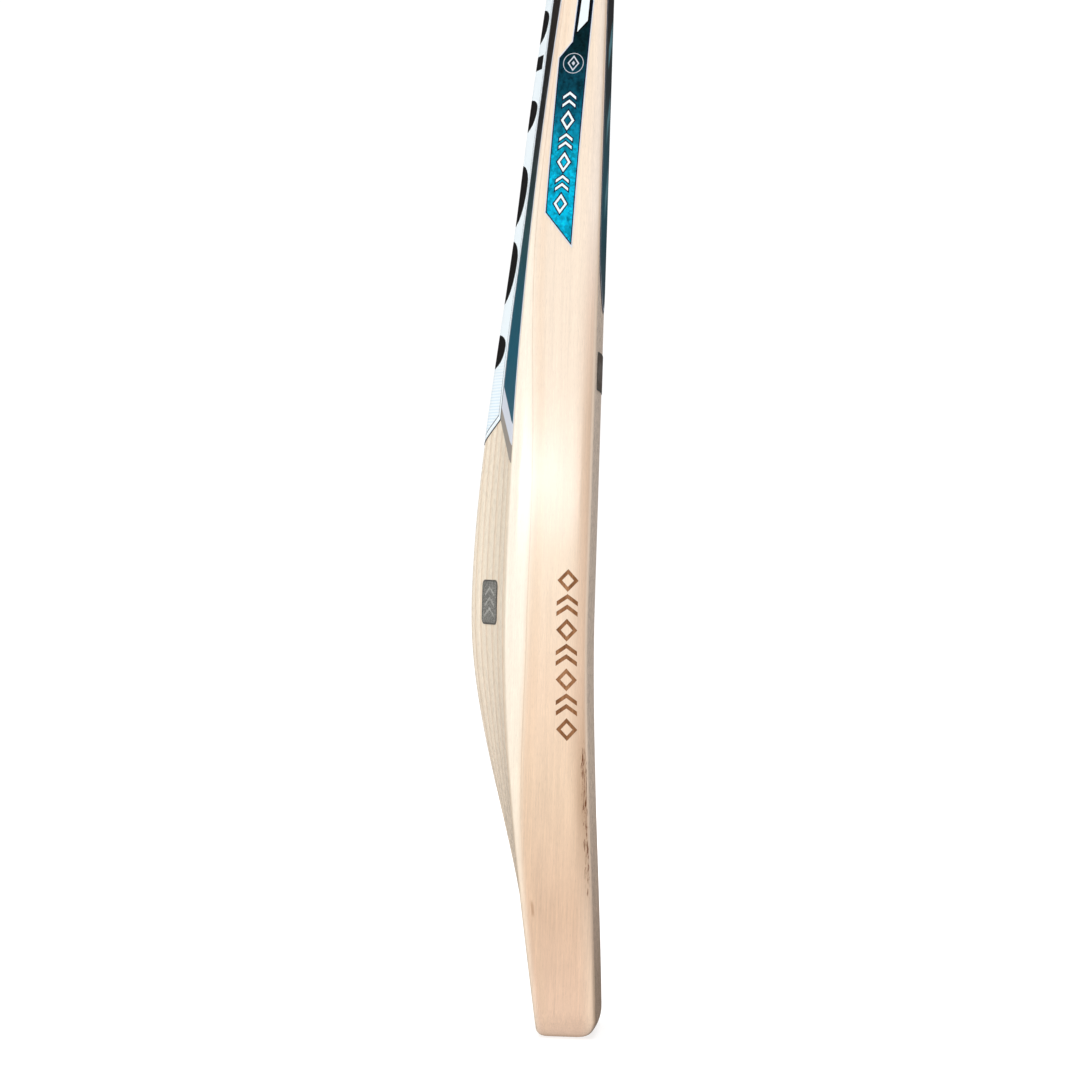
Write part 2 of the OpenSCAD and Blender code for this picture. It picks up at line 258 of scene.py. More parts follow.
class Shade:
    """One material and short ways to add its nodes. Patterns are in millimetres."""

    def __init__(self, name):
        self.material = bpy.data.materials.new(name)
        self.material.use_nodes = True
        self.tree = self.material.node_tree
        self.shader = self.tree.nodes["Principled BSDF"]
        coordinates = self.node("TexCoord")
        self.mm = self.vector("SCALE", coordinates.outputs["Object"], scale=1000)
        parts = self.node("SeparateXYZ")
        self.join(self.mm, parts.inputs[0])
        self.x, self.y, self.z = parts.outputs

    def node(self, kind):
        return self.tree.nodes.new("ShaderNode" + kind)

    def join(self, value, socket):
        if isinstance(value, bpy.types.NodeSocket):
            self.tree.links.new(value, socket)
        else:
            socket.default_value = value

    def set(self, **values):
        for name, value in values.items():
            self.join(value, self.shader.inputs[name.replace("_", " ")])
        return self

    def vector(self, operation, a, b=None, scale=None):
        node = self.node("VectorMath")
        node.operation = operation
        self.join(a, node.inputs[0])
        if b is not None:
            self.join(b, node.inputs[1])
        if scale is not None:
            self.join(scale, node.inputs["Scale"])
        return node.outputs[0]

    def math(self, operation, a, b=0.0):
        node = self.node("Math")
        node.operation = operation
        self.join(a, node.inputs[0])
        self.join(b, node.inputs[1])
        return node.outputs[0]

    def add(self, a, b):
        return self.math("ADD", a, b)

    def mul(self, a, b):
        return self.math("MULTIPLY", a, b)

    def scaled(self, x, y, z):
        """Coordinates for a pattern with so many features to the millimetre."""
        return self.vector("MULTIPLY", self.mm, (x, y, z))

    def noise(self, at, detail=2.0, rough=0.5, shift=0.0):
        """Cloudy noise; shift moves it, so that no two look alike."""
        node = self.node("TexNoise")
        node.inputs["Scale"].default_value = 1.0
        node.inputs["Detail"].default_value = detail
        node.inputs["Roughness"].default_value = rough
        if shift:
            at = self.vector("ADD", at, (shift, shift * 0.7, shift * 0.3))
        self.join(at, node.inputs["Vector"])
        return node.outputs["Fac"]

    def cells(self, at, scale, output="Distance"):
        node = self.node("TexVoronoi")
        node.inputs["Scale"].default_value = scale
        self.join(at, node.inputs["Vector"])
        return node.outputs[output]

    def attribute(self, name):
        node = self.node("Attribute")
        node.attribute_name = name
        return node.outputs["Fac"]

    def step(self, value, low, high):
        """0 below low, 1 above high, smooth between; high may be the lower one."""
        node = self.node("MapRange")
        node.interpolation_type = "SMOOTHSTEP"
        falling = high < low
        self.join(value, node.inputs["Value"])
        self.join(min(low, high), node.inputs["From Min"])
        self.join(max(low, high), node.inputs["From Max"])
        self.join(1.0 if falling else 0.0, node.inputs["To Min"])
        self.join(0.0 if falling else 1.0, node.inputs["To Max"])
        return node.outputs["Result"]

    def band(self, value, centre, half, soft):
        """1 within half of centre, falling to 0 over soft."""
        off = self.math("ABSOLUTE", self.add(value, -centre))
        return self.step(off, half + soft, half)

    def ramp(self, value, low, high, *colours):
        """A colour for each value from low to high.

        A stop is (r, g, b) in 8-bit sRGB, spread evenly, or (r, g, b, value).
        """
        node = self.node("ValToRGB")
        stops = node.color_ramp.elements
        while len(stops) < len(colours):
            stops.new(0.5)
        for k, colour in enumerate(colours):
            even = mix(low, high, k / (len(colours) - 1))
            place = colour[3] if len(colour) > 3 else even
            stops[k].position = (place - low) / (high - low)
            stops[k].color = lin(*colour[:3])
        scaled = self.mul(self.add(value, -low), 1 / (high - low))
        self.join(scaled, node.inputs[0])
        return node.outputs["Color"]

    def blend(self, share, a, b):
        node = self.node("Mix")
        node.data_type = "RGBA"
        self.join(share, node.inputs[0])
        self.join(a, node.inputs[6])
        self.join(b, node.inputs[7])
        return node.outputs[2]

    def tint(self, colour, amount):
        """The colour made lighter or darker by a factor."""
        if isinstance(colour, tuple):
            colour = colour[:3]
        return self.vector("SCALE", colour, scale=amount)

    def bump(self, height, distance, strength=1.0):
        """Relief of height 0 to 1, distance in millimetres deep."""
        node = self.node("Bump")
        node.inputs["Strength"].default_value = strength
        node.inputs["Distance"].default_value = distance * MM
        self.join(height, node.inputs["Height"])
        self.join(node.outputs["Normal"], self.shader.inputs["Normal"])
        return self


# ------------ willow


def willow():
    s = Shade("willow")
    depth = s.attribute("depth")  # mm behind the face
    share = s.attribute("share")  # 0 at the face, 1 at the back of an edge
    edge = s.attribute("edge")  # 1 on the two edges
    drift = s.noise(s.scaled(0.013, 0.02, 0.0035), detail=1.5)
    wander = s.noise(s.scaled(0.05, 0.05, 0.011), detail=2, shift=31)

    # growth rings: planes across the blade, so they are lines on the face and back
    warp = s.add(s.mul(s.add(drift, -0.5), 10), s.mul(s.add(wander, -0.5), 2.2))
    rings = s.mul(s.add(s.add(s.x, s.mul(depth, 0.24)), warp), 1 / 9.4)
    turn = s.math("FRACT", s.add(rings, 0.35))
    late = s.math("POWER", turn, 9.0)
    line = s.step(turn, 0.93, 0.985)
    fade = s.step(turn, 0.0, 0.02)
    late = s.mul(late, fade)
    line = s.mul(line, s.step(turn, 1.0, 0.99))

    # fibres, the short flecks between them and the patchy sheen of oiled wood
    sheen = s.noise(s.scaled(1.8, 1.8, 0.3), detail=3, rough=0.7, shift=19)
    fibre = s.noise(s.scaled(1.5, 1.5, 0.022), detail=3, rough=0.6)
    broad = s.noise(s.scaled(0.34, 0.34, 0.006), detail=2, shift=7)
    fleck = s.noise(s.scaled(2.6, 2.6, 0.16), detail=1, shift=13)
    fine = s.noise(s.scaled(6.5, 6.5, 0.35), detail=1, shift=23)

    flank = s.ramp(
        s.z, 0, BLADE_LENGTH,
        (236, 216, 192, 0), (236, 221, 200, 110), (236, 224, 203, 230),
        (237, 223, 202, 400), (236, 218, 194, 560),
    )
    face = s.ramp(
        s.z, 0, BLADE_LENGTH,
        (176, 152, 132, 0), (186, 162, 142, 30), (212, 188, 168, 62),
        (236, 216, 196, 125), (242, 225, 208, 260), (240, 222, 203, 560),
    )
    # painted light: the back's flanks lighter near the ridge and darker towards the edges, as
    # light falls on them
    painted_flank_shade = s.step(s.math("ABSOLUTE", s.x), 6, 52)
    flank = s.tint(flank, s.add(1.06, s.mul(painted_flank_shade, -0.16)))
    flank = s.blend(s.step(depth, 6, 3), flank, face)
    tan = s.ramp(
        s.z, 0, BLADE_LENGTH,
        (229, 197, 172, 0), (222, 190, 162, 60), (233, 206, 178, 120),
        (239, 213, 187, 170), (241, 221, 197, 225), (244, 227, 207, 300),
        (245, 228, 208, 400), (245, 226, 203, 560),
    )
    orange = s.ramp(
        s.z, 0, BLADE_LENGTH,
        (241, 214, 188, 0), (216, 190, 166, 60), (188, 156, 128, 115),
        (222, 192, 166, 180), (212, 186, 162, 300), (224, 200, 180, 350),
        (238, 224, 210, 400), (240, 224, 206, 560),
    )
    # the cream wood at the back of each edge; its darker stops from 440 to 490 mm are painted
    # shade beside the back's dark stripe
    cream_with_stripe_shade = s.ramp(
        s.z, 0, BLADE_LENGTH,
        (232, 206, 184, 0), (246, 228, 206, 65), (248, 235, 215, 120),
        (250, 242, 226, 220), (249, 240, 223, 370), (240, 222, 202, 440),
        (228, 206, 186, 490), (240, 224, 204, 560),
    )
    border = s.add(s.mul(s.step(s.z, 200, 60), 0.2), s.mul(s.step(s.z, 262, 405), 0.2))
    ragged = s.add(share, s.mul(s.add(wander, -0.5), 0.05))
    ragged = s.math("SUBTRACT", ragged, border)
    edge_colour = s.blend(s.step(share, 0.27, 0.04), tan, orange)
    edge_colour = s.blend(s.step(ragged, 0.67, 0.79), edge_colour, cream_with_stripe_shade)
    edge_line = s.mul(s.band(ragged, 0.725, 0.002, 0.010), s.step(s.z, 60, 130))
    edge_late = s.mul(s.band(ragged, 0.62, 0.0, 0.10), 0.25)

    colour = s.blend(edge, flank, edge_colour)
    on_flank = s.math("SUBTRACT", 1.0, edge)
    season = s.mul(s.step(turn, 0.3, 0.9), fade)  # darker towards the end of each ring
    colour = s.blend(s.mul(season, s.mul(on_flank, 0.3)), colour, lin(214, 190, 158))
    colour = s.blend(s.mul(late, s.mul(on_flank, 0.45)), colour, lin(210, 178, 142))
    colour = s.blend(s.mul(line, s.mul(on_flank, 0.42)), colour, lin(176, 130, 92))
    colour = s.blend(s.mul(edge_line, s.mul(edge, 0.3)), colour, lin(196, 160, 124))
    colour = s.blend(s.mul(edge_late, edge), colour, lin(236, 206, 174))

    patch = s.noise(s.scaled(0.09, 0.09, 0.022), detail=3, rough=0.6, shift=27)
    tone = s.add(0.93, s.mul(broad, 0.14))
    tone = s.add(tone, s.mul(s.add(patch, -0.5), s.mul(s.step(s.z, 220, 90), 0.28)))
    tone = s.add(tone, s.mul(s.add(fibre, -0.5), s.add(0.2, s.mul(s.step(s.z, 200, 60), 0.12))))
    tone = s.add(tone, s.mul(s.step(fleck, 0.56, 0.72), 0.07))
    tone = s.add(tone, s.mul(s.step(fine, 0.58, 0.74), -0.12))
    colour = s.tint(colour, tone)

    # jagged brown flecks low on the face's corner, and one small knot
    jag = s.noise(s.scaled(1.9, 1.9, 0.14), detail=3, rough=0.7, shift=3)
    where = s.mul(s.band(s.z, 105, 26, 18), s.mul(s.step(share, 0.12, 0.02), edge))
    jag = s.mul(s.step(s.add(jag, s.mul(where, 0.1)), 0.60, 0.63), s.step(where, 0.1, 0.4))
    colour = s.blend(jag, colour, lin(112, 66, 34))
    knot = s.mul(s.band(s.z, 62, 1.6, 3.4), s.mul(s.band(share, 0.84, 0.008, 0.022), edge))
    colour = s.blend(s.mul(knot, 0.45), colour, lin(160, 112, 78))
    # painted shade: the toe darker in its lowest 2.5 mm, along its bottom next to the floor
    toe = s.mul(s.step(s.z, 2.5, 0.2), 0.35)
    colour = s.blend(toe, colour, lin(206, 168, 132))

    s.set(
        Base_Color=colour,
        Roughness=s.add(0.5, s.mul(fibre, 0.16)),
        Specular_IOR_Level=0.3,
        Coat_Weight=s.add(0.1, s.mul(s.step(sheen, 0.42, 0.66), 0.8)),
        Coat_Roughness=0.12,
    )
    grain = s.add(s.mul(fibre, 0.55), s.mul(fleck, 0.35))
    grain = s.add(grain, s.mul(s.math("SUBTRACT", 1.0, late), 0.35))
    s.bump(grain, 0.05, 0.5)
    return s.material


def burnt():
    s = Shade("burnt_willow")
    fibre = s.noise(s.scaled(1.6, 1.6, 0.05), detail=3, rough=0.6)
    patch = s.noise(s.scaled(0.3, 0.3, 0.12), detail=2, shift=5)
    colour = s.ramp(
        s.add(s.mul(fibre, 0.5), s.mul(patch, 0.5)), 0.3, 0.7,
        (112, 70, 38), (150, 100, 60), (186, 138, 98),
    )
    s.set(Base_Color=colour, Roughness=0.75)
    s.bump(fibre, 0.05)
    return s.material


# ------------ blade


BACK_TURN = 66  # degrees that the corner between edge and back turns
FLANK_START = 1.5 * BACK_R  # from the edge to where the back's flank begins


def blade_section(z):
    """The ring of the blade's outline at height z, anticlockwise from above."""
    w = float(half_width(z))
    under_face = float(round_off(z, TOE_FACE_R))
    under_back = float(round_off(z, TOE_BACK_R))
    front = float(face_y(w, z)) + under_face
    back = float(back_y(w, z)) - under_back
    half = [(x, float(face_y(x, z)) + under_face) for x in np.linspace(0, w - FACE_R, 22)]
    for a in np.radians(np.linspace(-78, 0, 7)):
        half.append((w - FACE_R + FACE_R * math.cos(a), front + FACE_R + FACE_R * math.sin(a)))
    low, high = front + FACE_R, back - BACK_R
    half += [(w, mix(low, high, t)) for t in np.linspace(0, 1, 14)[1:-1]]
    for a in np.radians(np.linspace(0, BACK_TURN, 6)):
        half.append((w - BACK_R + BACK_R * math.cos(a), back - BACK_R + BACK_R * math.sin(a)))
    for t in np.linspace(0, 1, 30):
        x = (w - FLANK_START) * (1 - t) ** 1.25
        half.append((x, float(back_y(x, z)) - under_back))
    left = [(-x, y) for x, y in half[-2:0:-1]]
    return [(x, y, z) for x, y in half + left]


def blade_heights():
    toe = [0, 0.12, 0.4, 0.8, 1.4, 2.1, 3, 4, 5.2, 6.6, 8.2, 10, 12, 14]
    body = list(np.linspace(14, SHOULDER_Z, 206)[1:])
    turn = [SHOULDER_Z + SHOULDER_ROUND * math.sin(math.radians(a)) for a in range(5, 91, 5)]
    return toe + [float(z) for z in body] + turn


def inset(outline, by):
    """A polygon moved inwards by that much; it runs anticlockwise."""
    n = len(outline)
    out = []
    for k in range(n):
        a, b, c = (Vector(outline[(k + j) % n]) for j in (-1, 0, 1))
        d1, d2 = (b - a).normalized(), (c - b).normalized()
        n1, n2 = Vector((-d1.y, d1.x)), Vector((-d2.y, d2.x))
        normal = n1 + n2
        if normal.length < 1e-6:
            normal = n1
        normal.normalize()
        out.append(tuple(b + normal * (by / max(0.3, normal.dot(n1)))))
    return out


def diamond(u, v, wide, tall):
    return [(u - wide / 2, v), (u, v - tall / 2), (u + wide / 2, v), (u, v + tall / 2)]


def chevron(u, v, wide, rise, thick):
    """An arrowhead that points up, v the middle of its height."""
    low, high = v - (rise + thick) / 2, v + (rise + thick) / 2
    left, right = u - wide / 2, u + wide / 2
    return [
        (left, low), (u, high - thick), (right, low),
        (right, low + thick), (u, high), (left, low + thick),
    ]


# The burned mark on the edge: open diamonds and pairs of arrowheads by turns
MARK_LOW, MARK_HIGH = 142.3, 225.5
MARK_MID, MARK_WIDE, MARK_STROKE = 9.8, 10.2, 2.2
MARK_COUNT = 7
MARK_DEPTH = 0.3


def burned_mark():
    """Outlines in (mm behind the face, height)."""
    solid = []
    pitch = (MARK_HIGH - MARK_LOW) / MARK_COUNT
    for k in range(MARK_COUNT):
        v = MARK_LOW + pitch * (k + 0.5)
        if k % 2 == 0:
            ring = diamond(MARK_MID, v, MARK_WIDE, pitch * 0.92)
            solid.append((ring, inset(ring, MARK_STROKE * 0.75)))
        else:
            for off in (-2.5, 2.5):
                solid.append((chevron(MARK_MID, v + off, MARK_WIDE, 3.6, MARK_STROKE), None))
    return solid


def engraving(sign):
    """Cutters for the mark, which stand out of one edge and reach into it."""
    verts, faces = [], []
    for outer, inner in burned_mark():
        loops = [outer] if inner is None else [outer, inner]
        n, start = len(outer), len(verts)
        for loop in loops:
            for off in (-MARK_DEPTH, 0.8):
                for d, z in loop:
                    y = float(face_y(HALF_BLADE, z)) + d
                    verts.append((sign * (float(side(z)) + off), y, z))
        deep, high = start, start + n
        hole = 2 * n  # from a point of the outer loop to the same one of the inner
        if inner is None:
            faces.append(tuple(range(deep, deep + n)))
            faces.append(tuple(range(high + n - 1, high - 1, -1)))
        for k in range(n):
            j = (k + 1) % n
            faces.append((deep + k, high + k, high + j, deep + j))
            if inner is not None:
                faces.append((deep + hole + j, high + hole + j, high + hole + k, deep + hole + k))
                faces.append((deep + k, deep + j, deep + hole + j, deep + hole + k))
                faces.append((high + j, high + k, high + hole + k, high + hole + j))
    return verts, faces


def cut(ob, verts, faces, material):
    """Cuts a closed cutter out of ob; the cut's own surface gets the material."""
    cutter = mesh_object("cutter", verts, faces, [material])
    mod = ob.modifiers.new("cut", "BOOLEAN")
    mod.operation = "DIFFERENCE"
    mod.solver = "EXACT"
    mod.object = cutter
    mod.material_mode = "TRANSFER"
    graph = bpy.context.evaluated_depsgraph_get()
    done = bpy.data.meshes.new_from_object(ob.evaluated_get(graph))
    ob.modifiers.clear()
    old = ob.data
    ob.data = done
    bpy.data.meshes.remove(old)
    bpy.data.objects.remove(cutter)


def splice_cutter():
    outline = [
        (-SPLICE_TIP_HALF, SPLICE_TIP_Z), (SPLICE_TIP_HALF, SPLICE_TIP_Z),
        (SPLICE_HALF, BLADE_LENGTH), (SPLICE_HALF, BLADE_LENGTH + 20),
        (-SPLICE_HALF, BLADE_LENGTH + 20), (-SPLICE_HALF, BLADE_LENGTH),
    ]
    rings = [[(x, y, z) for x, z in outline] for y in (-60, 90)]
    return flat(rings), loft(rings)


def add_blade(wood, burn):
    rings = [blade_section(z) for z in blade_heights()]
    ob = mesh_object("blade_willow", flat(rings), loft(rings), [wood])
    cut(ob, *splice_cutter(), wood)
    for sign in (-1, 1):
        cut(ob, *engraving(sign), burn)
    mesh = ob.data
    at = np.zeros(len(mesh.vertices) * 3)
    mesh.vertices.foreach_get("co", at)
    x, y, z = (at.reshape(-1, 3) / MM).T
    depth = y - face_y(HALF_BLADE, z)
    values = {
        "depth": depth,
        "share": depth / edge_thickness(z),
        "edge": smooth((np.abs(x) - half_width(z) + 1.6) / 1.2),
    }
    for name, value in values.items():
        layer = mesh.attributes.new(name, "FLOAT", "POINT")
        layer.data.foreach_set("value", value.astype(np.float32))
    smooth_faces(mesh, 32)
    finish_piece(ob, "blade")


# ------------ labels


def dense(loop, step):
    """The loop's points with more between them, no further apart than step."""
    out = []
    for k, a in enumerate(loop):
        b = loop[(k + 1) % len(loop)]
        n = max(1, math.ceil(math.dist(a, b) / step))
        out += [(mix(a[0], b[0], j / n), mix(a[1], b[1], j / n)) for j in range(n)]
    return out


def inside(points, loop):
    """Which of the points (an n by 2 array) lie in the loop."""
    x, y = points[:, 0], points[:, 1]
    hit = np.zeros(len(points), bool)
    for (x0, y0), (x1, y1) in zip(loop, loop[1:] + loop[:1]):
        if y0 == y1:
            continue
        crosses = (y0 > y) != (y1 > y)
        hit ^= crosses & (x < (x1 - x0) * (y - y0) / (y1 - y0) + x0)
    return hit


LABEL_GAP, LABEL_T = 0.03, 0.25
LOOP_STEP = 3.0  # longest piece of a printed line
GRID_CLEAR = 0.9  # least distance from a grid point to a printed line


def grid_inside(outline, step, lines):
    """Points of a regular grid in the outline, clear of the lines' points."""
    low, high = np.array(outline).min(0), np.array(outline).max(0)
    nu = max(2, math.ceil((high[0] - low[0]) / step[0]))
    nv = max(2, math.ceil((high[1] - low[1]) / step[1]))
    grid = np.array(
        [
            (mix(low[0], high[0], i / nu), mix(low[1], high[1], j / nv))
            for i in range(1, nu)
            for j in range(1, nv)
        ]
    )
    grid = grid[inside(grid, outline)]
    lines = np.array(lines)
    clear = [np.min(np.sum((lines - g) ** 2, axis=1)) > GRID_CLEAR**2 for g in grid]
    return [tuple(g) for g in grid[np.array(clear, bool)]]


def label(node, outline, paint, surface, step):
    """A thin closed sheet on the blade, laid out flat in (u, v) on a grid of that step.

    paint is a list of (loop, material), the last one on top; a loop of None is all of
    the sheet. surface(u, v, h) gives the point h above the wood.
    """
    loops = [outline] + [loop for loop, _ in paint if loop is not None]
    verts, edges = [], []
    for loop in loops:
        loop = dense(loop, LOOP_STEP)
        start = len(verts)
        verts += loop
        edges += [(start + k, start + (k + 1) % len(loop)) for k in range(len(loop))]
    verts += grid_inside(outline, step, verts)
    flat_verts, _, flat_faces, *_ = geometry.delaunay_2d_cdt(
        [Vector(v) for v in verts], edges, [], 0, 1e-5
    )
    middles = np.array(
        [[sum(flat_verts[k][j] for k in f) / len(f) for j in (0, 1)] for f in flat_faces]
    )
    kept = inside(middles, outline)
    materials, which = [], np.zeros(len(flat_faces), int)
    for loop, material in paint:
        if material not in materials:
            materials.append(material)
        found = kept if loop is None else inside(middles, loop)
        which[found] = materials.index(material)
    top = [f for f, k in zip(flat_faces, kept) if k]
    slots = [int(w) for w, k in zip(which, kept) if k]
    n = len(flat_verts)
    points = [surface(p[0], p[1], LABEL_GAP + LABEL_T) for p in flat_verts]
    points += [surface(p[0], p[1], LABEL_GAP) for p in flat_verts]
    faces = [tuple(f) for f in top] + [tuple(k + n for k in reversed(f)) for f in top]
    all_slots = slots + slots
    sides = {}
    for f, s in zip(top, slots):
        for a, b in zip(f, list(f[1:]) + [f[0]]):
            sides[(a, b)] = s
    for (a, b), s in sides.items():
        if (b, a) not in sides:  # on the sheet's rim
            faces.append((b, a, a + n, b + n))
            all_slots.append(s)
    ob = mesh_object(f"{node}_print", points, faces, materials, all_slots, sharp=30)
    bm = bmesh.new()
    bm.from_mesh(ob.data)
    loose = [v for v in bm.verts if not v.link_faces]
    bmesh.ops.delete(bm, geom=loose, context="VERTS")
    bm.to_mesh(ob.data)
    bm.free()
    finish_piece(ob, node)


def on_back(u, v, h):
    """A point on the back, which near the edges follows the rounded corner."""
    w = float(side(v))
    turn = math.radians(BACK_TURN)
    flank, corner = w - FLANK_START, w - BACK_R * (1 - math.cos(turn))
    low = float(back_y(w, v)) - BACK_R
    if abs(u) < flank:
        y = float(back_y(u, v))
    elif abs(u) < corner:
        share = (abs(u) - flank) / (corner - flank)
        y = mix(float(back_y(flank, v)), low + BACK_R * math.sin(turn), share)
    else:
        y = low + math.sqrt(max(0, BACK_R**2 - (abs(u) - w + BACK_R) ** 2))
    return u, y + h, v


def on_face(u, v, h):
    return u, float(face_y(u, v)) - h, v


BACK_LABEL_HALF, BACK_LABEL_TIP, BACK_LABEL_RISE = 28, 284, 12
BACK_LABEL_TOP = SHOULDER_Z + 6
STRIPE_GAP, STRIPE_LOW = 0.4, 275
EDGE_LABEL_HALF = 7.25
EDGE_LABEL_LOW, EDGE_LABEL_TOP = 378.5, 520
EDGE_LABEL_MID = 0.595  # place across the edge, from face to back
FACE_LABEL_TIP, FACE_LABEL_RISE = 350, 19


def on_edge(sign):
    def surface(u, v, h):
        middle = float(face_y(HALF_BLADE, v)) + EDGE_LABEL_MID * float(edge_thickness(v))
        return sign * (float(side(v)) + h), middle + u, v

    return surface


def vinyl(name, colour, rough=0.36, mottle=0.03):
    """Printed gloss vinyl with faint mottling, orange peel and scuffs.

    The colour may be a function that makes it in the material.
    """
    s = Shade(name)
    cloud = s.noise(s.scaled(0.12, 0.12, 0.12), detail=2)
    peel = s.noise(s.scaled(1.1, 1.1, 1.1), detail=2, shift=9)
    base = colour(s) if callable(colour) else colour
    base = s.tint(base, s.add(1 - mottle / 2, s.mul(cloud, mottle)))
    scuff = s.noise(s.scaled(3, 3, 0.25), detail=2, shift=17)
    s.set(
        Base_Color=base,
        Roughness=s.add(rough, s.mul(s.step(scuff, 0.6, 0.8), 0.12)),
        Specular_IOR_Level=0.16,
        Coat_Weight=0.08,
        Coat_Roughness=0.2,
    )
    s.bump(peel, 0.02, 0.4)
    return s.material


def streaked(low, high, *colours):
    """A dark print that fades along the blade, with brushed streaks."""

    def base(s):
        streak = s.noise(s.scaled(0.7, 0.7, 0.03), detail=3, rough=0.6)
        return s.tint(s.ramp(s.z, low, high, *colours), s.add(0.86, s.mul(streak, 0.28)))

    return base


def pinstripes(s):
    """White with fine pale blue cross lines near the lower end."""
    line = s.step(s.math("FRACT", s.mul(s.z, 1 / 1.5)), 0.55, 0.75)
    where = s.mul(line, s.mul(s.step(s.z, 345, 300), s.step(s.z, 286, 292)))
    return s.blend(s.mul(where, 0.55), lin(236, 247, 251), lin(190, 220, 238))


def foil(name):
    """Metallic foil with a fine hammered relief, and a painted sparkle in its colour."""
    s = Shade(name)
    cell = s.cells(s.scaled(1, 1, 1), 0.85, "Color")
    spot = s.node("SeparateColor")
    s.join(cell, spot.inputs[0])
    hammer = s.cells(s.scaled(1, 1, 1), 1.2)
    swirl = s.noise(s.scaled(0.35, 0.35, 0.2), detail=3, rough=0.6, shift=4)
    base = s.ramp(
        s.z, 375, 520,
        (8, 198, 240, 378), (6, 194, 236, 404), (10, 184, 220, 425),
        (8, 124, 158, 439), (8, 78, 98, 452), (12, 68, 86, 462),
        (8, 46, 54, 474), (8, 26, 32, 500),
    )
    # painted highlight: the colour lighter from cell to cell and in swirls, a painted sparkle of
    # the hammered foil
    glint = s.add(s.mul(spot.outputs[0], 0.5), s.mul(s.step(swirl, 0.3, 0.7), 0.7))
    base = s.tint(base, s.add(0.4, glint))
    s.set(
        Base_Color=base,
        Metallic=0.35,
        Roughness=0.4,
        Specular_IOR_Level=0.08,
    )
    s.bump(s.add(s.mul(hammer, 0.6), s.mul(swirl, 0.4)), 0.12, 0.7)
    return s.material


def egg(low, high, reach):
    """An egg with its blunt end up, as wide as reach on both sides of the middle."""
    middle = mix(low, high, 0.66)
    return [
        (
            reach * math.cos(a),
            middle + math.sin(a) * (high - middle if math.sin(a) > 0 else middle - low),
        )
        for a in np.radians(range(0, 360, 15))
    ]


def add_back_label(vinyls):
    """White with outlines, a column of eggs and bars, and a lower end like a V."""
    half, tip, top = BACK_LABEL_HALF, BACK_LABEL_TIP, BACK_LABEL_TOP
    low = tip + BACK_LABEL_RISE
    outline = [(-half, low), (0, tip), (half, low), (half, top), (-half, top)]
    paint = [
        (None, vinyls["navy"]),
        (inset(outline, 0.5), vinyls["plain"]),
        (inset(outline, 3.1), vinyls["navy"]),
        (inset(outline, 3.7), vinyls["white"]),
    ]
    for low, high in ((321, 338), (352.5, 384), (390.5, 421), (437, 453), (480, 497)):
        paint.append((egg(low, high, 22), vinyls["black"]))
    for low in (467, 503, 514):
        bar = [(-20, low), (20, low), (20, low + 7), (-20, low + 7)]
        paint.append((bar, vinyls["black"]))
    label("back_label", outline, paint, on_back, (2.2, 5))


def add_back_stripe(word, sign, vinyls):
    """A dark stripe with a silver band and a grey one at its slanted lower end."""
    inner, outer = BACK_LABEL_HALF + STRIPE_GAP, HALF_BLADE - 1.6
    low, out_low = BACK_LABEL_TIP + BACK_LABEL_RISE, STRIPE_LOW
    top, out_top = BACK_LABEL_TOP, SHOULDER_Z - 6

    def strip(margin, in_low, out_low, in_high, out_high):
        """Between two heights at its inner side and two at its outer one."""
        a, b = inner + margin, outer - margin
        points = [(a, in_low), (b, out_low), (b, out_high), (a, in_high)]
        return [(sign * x, z) for x, z in points][::sign]

    paint = [
        (None, vinyls["silver"]),
        (strip(0, low, out_low, low + 6, out_low + 8.5), vinyls["taupe"]),
        (strip(0.3, low + 16, out_low + 18.5, top - 1, out_top - 1), vinyls["dark"]),
    ]
    outline = strip(0, low, out_low, top, out_top)
    label(f"back_stripe_{word}", outline, paint, on_back, (3, 5))


def add_edge_label(word, sign, vinyls):
    """Foil with an outline, a ring emblem above and a row of open motifs below."""
    w, low, top = EDGE_LABEL_HALF, EDGE_LABEL_LOW, EDGE_LABEL_TOP
    outline = [(-w, low), (w, low + 16.5), (w, 469.5), (1.6, 477.5), (0.4, top), (-w, top)]
    end = top - 0.8
    paint = [
        (None, vinyls["lilac"]),
        (inset(outline, 0.5), vinyls["navy"]),
        (inset(outline, 1.05), vinyls["foil"]),
        ([(0.2, 480.5), (-0.4, end), (-5.9, end), (-5.9, 487.2)], vinyls["black"]),
        ([(-0.5, 482), (-2.1, end), (-5, end), (-5, 487.6)], vinyls["plain"]),
    ]
    emblem = (-0.2, 467)
    for r, colour in ((4.9, "silver"), (4.6, "foil")):
        around = np.radians(range(0, 360, 12))
        circle = [(emblem[0] + r * math.cos(a), emblem[1] + r * math.sin(a)) for a in around]
        paint.append((circle, vinyls[colour]))
    for size, colour in ((1, "silver"), (0.74, "foil"), (0.3, "silver")):
        paint.append((diamond(*emblem, 5.6 * size, 7.6 * size), vinyls[colour]))
    row_low, pitch = 394.6, 10
    for k in range(6):
        v = row_low + pitch * (k + 0.5)
        if k % 2 == 0:
            ring = diamond(0, v, 6.4, pitch * 0.96)
            for by, colour in ((-0.6, "navy"), (0, "plain"), (1.05, "navy"), (1.5, "foil")):
                paint.append((inset(ring, by), vinyls[colour]))
        else:
            for by, colour in ((-0.55, "navy"), (0, "plain")):
                for off in (-1.9, 1.9):
                    paint.append((inset(chevron(0, v + off, 6.2, 2.4, 1.35), by), vinyls[colour]))
    label(f"edge_label_{word}", outline, paint, on_edge(sign), (3, 4))


def face_label_loop(half, low, top):
    """The face label's outline: a shallow bow with steeper ends, and straight sides."""
    bow = half - 4
    right = [(x, low + FACE_LABEL_RISE * (x / bow) ** 1.8) for x in np.linspace(0, bow, 9)]
    right += [(half, right[-1][1] + 14), (half, top)]
    return right + [(-x, z) for x, z in right[:0:-1]]


